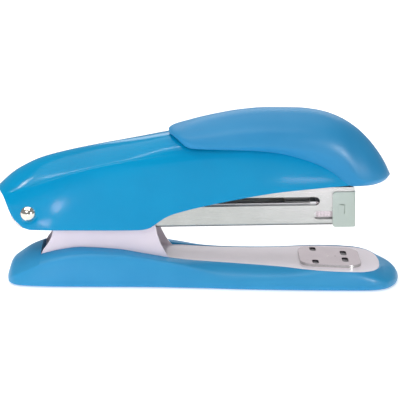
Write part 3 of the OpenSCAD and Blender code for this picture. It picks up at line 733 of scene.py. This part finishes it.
def staples_piece():
    """The strip as separate staples, each a flattened wire bent twice."""
    low, high = -4.3, 1.5
    half, pitch, count = 6.35, 0.52, 22
    t, r = 0.5, 0.55
    outer = ([(-half, low)] + arc(-half + r, high - r, r, 180, 90, 5) + arc(half - r, high - r, r, 90, 0, 5)
             + [(half, low)])
    ri = 0.12
    inner = ([(half - t, low)] + arc(half - t - ri, high - t - ri, ri, 0, 90, 4)
             + arc(-half + t + ri, high - t - ri, ri, 90, 180, 4) + [(-half + t, low)])
    back = 114.9 - count * pitch
    each = []
    for i in range(count):
        x0 = back + i * pitch + 0.02
        staple = prism("staple", outer + inner, x0, x0 + pitch - 0.04, "x", IN_MAGAZINE)
        each.append(round_edges(staple, 0.14, 2))
    return shade(joined("staples", each), 50)


# ---- Head ----

SHELL_REAR, SHELL_FRONT, SHELL_WALL = -73, 58.2, 1.8
shell_top = through([(-73, 34.6), (-72.4, 35.2), (-71.4, 36.1), (-69, 38.3), (-65, 41), (-58, 44.4),
                     (-51, 46.5), (-36, 49.8), (-20, 52.7), (-11, 54.4), (5, 56.2), (20, 57.6), (35, 57.6),
                     (45, 56), (52, 53), (58.2, 48.8)])
shell_low = through([(-73, 34.2), (-71.6, 33.9), (-70.2, 32.4), (-69.4, 30), (-68.5, 27.3),
                     (-66.9, 24.7), (-65.2, 22.9), (-63.2, 21.3), (-60.4, 20.6), (-36, 20.7), (-18.5, 21),
                     (-15.6, 23.3), (-12.5, 25.8), (-7, 27.6), (0, 29.4), (8, 31.2), (18, 33.25),
                     (28, 34.95), (39, 36.2), (52, 37.5), (58.2, 37.9)])
shell_half_w = through([(-73, 2), (-72.6, 5.4), (-71.6, 8.6), (-70, 10.6), (-68, 11.7), (-65, 12.2),
                        (-61, 12.6), (-50, 13), (-30, 13), (-10, 12.6), (0, 12.1), (20, 11.9),
                        (50, 11.5), (55, 11), (58.2, 9.6)])
shell_crease = through([(-73, 34.35), (-69.3, 33.8), (-63.5, 35.5), (-58.8, 37.1), (-46.3, 41.3),
                        (-35.5, 44.2), (-24.8, 46.4), (-17.7, 47.4), (-5, 48.8), (10, 50), (30, 49),
                        (50, 45.5), (58.2, 42.5)])


def shell_row(x, inset=0.0):
    """The head shell's half-section: rounded lip, wall, crease and crowned top."""
    low, top = shell_low(x), shell_top(x) - inset
    w = max(shell_half_w(x) - inset, 0.4)
    crease_z = min(max(shell_crease(x) - inset, low + 0.3), top - 0.25)
    crisp = 1 - smoothstep(-34, -6, x)
    crease_w = w * (0.93 - 0.03 * crisp)
    power = 2.0 + 1.3 * (1 - crisp)
    lip = 0.35 * min(1, (crease_z - low) / 3) if inset == 0 else 0.15
    foot = [(w - lip, low), (w - lip * 0.3, low + lip * 0.3), (w, low + lip)]
    z = np.linspace(low + lip, crease_z, 56)[1:]
    t = (z - low) / max(crease_z - low, 0.01)
    wall = [(w - (w - crease_w) * s ** 2.4, h) for s, h in zip(t, z)]
    crown = [(crease_w * (1 - s), crease_z + (top - crease_z) * (1 - (1 - s) ** power))
             for s in np.linspace(0, 1, 31)[1:]]
    line = mirrored(foot + wall + crown)
    firm, soft = soften(line, 1), soften(line, 26)
    return firm * crisp + soft * (1 - crisp)


def recessed(grid):
    """Sinks a shallow round recess into both walls for the pin's head."""
    grid = grid.copy()
    away = np.hypot(grid[..., 0] - HINGE[0], grid[..., 2] - HINGE[2])
    share = 1 - smoothstep(3.15, 3.75, away)
    side = np.sign(grid[..., 1])
    floor = 12.32
    grid[..., 1] -= side * share * np.maximum(np.abs(grid[..., 1]) - floor, 0)
    return grid


def head_shell_piece():
    near_pin = np.arange(HINGE[0] - 4.4, HINGE[0] + 4.4, 0.2)
    xs = np.concatenate([stations(SHELL_REAR, near_pin[0] - 0.2, 22), near_pin,
                         stations(near_pin[-1] + 0.2, SHELL_FRONT, 110, 0.3)])
    outer = recessed(smooth_along(rows_of(xs, shell_row), 6))
    inside = np.interp(xs, [SHELL_REAR, -71, 56, SHELL_FRONT], [-71.2, -70.9, 55.9, 56.8])
    inner = rows_of(inside, lambda x: shell_row(x, SHELL_WALL))
    return shade(moulding("head_shell_moulding", outer, inner), 45)


CAP_REAR, CAP_FRONT, CAP_WALL = -11.4, 68.6, 1.4
cap_top = through([(-11.4, 55.6), (-10.6, 56.1), (-7, 57.3), (0, 59.5), (7, 61.2), (14, 62.5),
                   (24, 63.4), (35, 63.4), (43, 62.5), (50, 60.2), (56, 56.6), (61, 51.9), (65, 46.8),
                   (67.4, 42.8), (68.6, 40.2)])
cap_low = through([(-11.4, 55), (-10.4, 54.8), (-8.5, 53.9), (-6, 52.1), (-4, 51.1), (5, 50.9),
                   (18, 50.5), (27, 49.6), (34, 48), (41, 45.7), (46.4, 43), (50, 40.2), (52.2, 38.2),
                   (54.5, 37.35), (60.4, 37.35), (64, 37.75), (66.5, 38.4), (68.6, 39.6)])
cap_half_w = through([(-11.4, 3.5), (-10.4, 7), (-8.5, 10), (-6, 12.4), (-3, 13.6), (4, 14.2),
                      (24, 14.5), (44, 14.5), (54, 13.9), (60, 12.4), (64, 10), (67, 6.6), (68.6, 2.6)])
cap_ridge = through([(-11.4, 55.2), (-8, 54.6), (-4, 53.2), (0, 52.5), (7, 52.1), (17, 52.5), (24, 52.7),
                     (34, 52), (45, 49.9), (50.7, 47.4), (54, 43.8), (56.4, 41), (61, 39.9),
                     (68.6, 39.9)])


def cap_row(x, inset=0.0):
    """The grip cap's half-section: a lip, a band turned under, a soft ridge and a crowned top."""
    low, top = cap_low(x), cap_top(x) - inset
    w = max(cap_half_w(x) - inset, 0.4)
    ridge = min(max(cap_ridge(x) - 0.5 * inset, low + 0.15), top - 0.2)
    under = 0.5 + 2.0 * smoothstep(0, 38, x)
    foot_w = max(w - under, w * 0.8)
    lip = min(0.3, (ridge - low) / 4)
    foot = [(foot_w - lip, low), (foot_w - lip * 0.3, low + lip * 0.3), (foot_w, low + lip)]
    band = [(foot_w + (w - foot_w) * (1 - (1 - t) ** 1.6), low + lip + (ridge - low - lip) * t)
            for t in np.linspace(0, 1, 15)[1:]]
    crown = [(w * math.cos(a) ** 0.97, ridge + (top - ridge) * math.sin(a) ** 0.97)
             for a in np.radians(np.linspace(0, 90, 41))[1:-1]] + [(0, top)]
    return soften(mirrored(foot + band + crown), 3)


def grip_cap_piece():
    xs = stations(CAP_REAR, CAP_FRONT, 130, 0.85)
    outer = smooth_along(rows_of(xs, cap_row), 5)
    inside = np.interp(xs, [CAP_REAR, -10, 66, CAP_FRONT], [-10.7, -9.6, 65.6, 66.4])
    inner = rows_of(inside, lambda x: cap_row(x, CAP_WALL))
    return shade(moulding("grip_cap_moulding", outer, inner), 45)


# ---- Putting the pieces on their bodies ----

stand_for(base_shell_piece(), "base_shell", base_blue)
stand_for(base_plate_piece(), "base_plate", white_enamel)
stand_for(hinge_pin_piece("hinge_pin", -1, "pin_with_dome"), "hinge_pin", chrome)
stand_for(hinge_pin_piece("pin_cap", 1, "pin_far_dome"), "pin_cap", chrome)
plate = stand_for(anvil_piece(), "anvil", anvil_steel)
darken_pockets(plate)
stand_for(magazine_piece(), "magazine_channel", nickel)
stand_for(front_plate_piece(), "front_plate", clip_enamel)
stand_for(staples_piece(), "staple_strip", staple_wire)
stand_for(head_shell_piece(), "head_shell", gloss_blue)
stand_for(grip_cap_piece(), "grip_cap", satin_blue)

pusher_coil = tube("pusher_coil", coil_path(1.95, 79.4, 26), 0.28, 10,
                   IN_MAGAZINE @ Matrix.Translation((14.4, 0, -3)) @ Matrix.Rotation(math.pi / 2, 4, "Y"))
stand_for(pusher_coil, "pusher_spring", spring_steel)
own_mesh(pusher_coil)
anvil_coil = tube("anvil_coil", coil_path(3.2, 2.0, 2.5, 40), 0.22, 10,
                  IN_ANVIL @ Matrix.Translation((0, 0, -4.2)))
stand_for(anvil_coil, "anvil_spring", spring_steel)
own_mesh(anvil_coil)

KEPT = {
    "base_pad": pad_rubber, "base_screws": plated, "hinge_washers": plated, "lift_spring": spring_steel,
    "lift_spring_rivet": plated, "anvil_spring_cup": plated, "anvil_post": plated,
    "staple_rail": rail_painted_light_and_shade, "rail_rivets": plated, "pusher_rod": plated, "rod_bracket": plated,
    "pusher": rail_painted_light_and_shade, "shell_posts": gloss_blue, "cap_posts": satin_blue,
    "head_frame": plated, "driver_blade": blade_steel, "driver_rivets": plated,
    "frame_screws": plated, "cap_screws": plated, "head_spring": spring_steel,
}
for node, finish in KEPT.items():
    for slot in frame["nodes"][node].material_slots:
        slot.material = finish


# ---- Stage, light and camera ----

def floor():
    mesh = bpy.data.meshes.new("floor")
    s = 4.0
    mesh.from_pydata([(-s, -s, 0), (s, -s, 0), (s, s, 0), (-s, s, 0)], [], [(0, 1, 2, 3)])
    piece = bpy.data.objects.new("floor", mesh)
    bpy.context.scene.collection.objects.link(piece)
    f = Finish("pale_floor", Roughness=0.9, Specular_IOR_Level=0.1, Emission_Color=(1, 1, 1, 1),
               Emission_Strength=0.45)
    f.colour(f.blend(f.between(f.noise(8, 2), 0, 1), (0.93, 0.93, 0.93, 1), (0.91, 0.91, 0.91, 1)))
    mesh.materials.append(f.material)


def lamp(name, at, size, power, aim=(0, 0, 0.03), tint=(1, 1, 1)):
    """A soft rectangular studio light facing the object."""
    light = bpy.data.lights.new(name, "AREA")
    light.color = tint
    light.shape, light.size, light.size_y, light.energy = "RECTANGLE", size[0], size[1], power
    piece = bpy.data.objects.new(name, light)
    piece.location = at
    piece.rotation_euler = (Vector(aim) - Vector(at)).to_track_quat("-Z", "Y").to_euler()
    bpy.context.scene.collection.objects.link(piece)
    return piece


def studio():
    world = bpy.data.worlds.new("studio")
    bpy.context.scene.world = world
    world.use_nodes = True
    background = world.node_tree.nodes["Background"]
    background.inputs["Color"].default_value = (1, 1, 1, 1)
    background.inputs["Strength"].default_value = 0.3
    lamp("overhead", (-0.1, 0.05, 0.9), (1.3, 0.9), 5.7)
    crease_glint = lamp("crease_glint", (-0.15, -0.37, 0.88), (0.9, 0.05), 2.4)
    nose_glint = lamp("nose_glint", (0.29, -0.385, 0.16), (0.05, 0.1), 2.0, (0.05, -0.014, 0.05))
    for glint in (crease_glint, nose_glint):
        glint.visible_diffuse = False
        glint.visible_camera = False
    lamp("key", (-0.3, -0.7, 0.5), (0.35, 0.25), 1.35)
    lamp("rear_glint", (-0.42, -0.06, 0.5), (0.015, 0.05), 0.3, (-0.068, -0.01, 0.035))
    lamp("back", (0.1, 0.8, 0.4), (0.6, 0.3), 1.0)
    mauve = (1.0, 0.8, 1.0)
    lamp("card_rear", (-0.067, -0.13, 0.0115), (0.006, 0.012), 0.007, (-0.0513, -0.0128, 0.030), mauve)
    lamp("card_low", (-0.068, -0.079, 0.006), (0.006, 0.004), 0.0016, (-0.0557, -0.0128, 0.0235), mauve)
    lamp("card_front", (0.046, -0.139, 0.016), (0.015, 0.005), 0.0032, (0.035, -0.0117, 0.04), mauve)
    lamp("card_nose", (0.058, -0.139, 0.0175), (0.008, 0.005), 0.0016, (0.043, -0.0116, 0.04), mauve)


def camera():
    pitch, roll = math.radians(14.9), math.radians(0.45)
    target = Vector((0, 0, 0.029))
    away = Vector((0, -math.cos(pitch), math.sin(pitch))) * 0.5475
    data = bpy.data.cameras.new("camera")
    data.lens, data.sensor_width = 135, 36
    piece = bpy.data.objects.new("camera", data)
    turn = Matrix.Rotation(math.pi / 2 - pitch, 4, "X") @ Matrix.Rotation(roll, 4, "Z")
    piece.matrix_world = Matrix.Translation(target + away) @ turn
    bpy.context.scene.collection.objects.link(piece)
    bpy.context.scene.camera = piece


floor()
studio()
camera()
bpy.context.scene.view_settings.view_transform = "Standard"
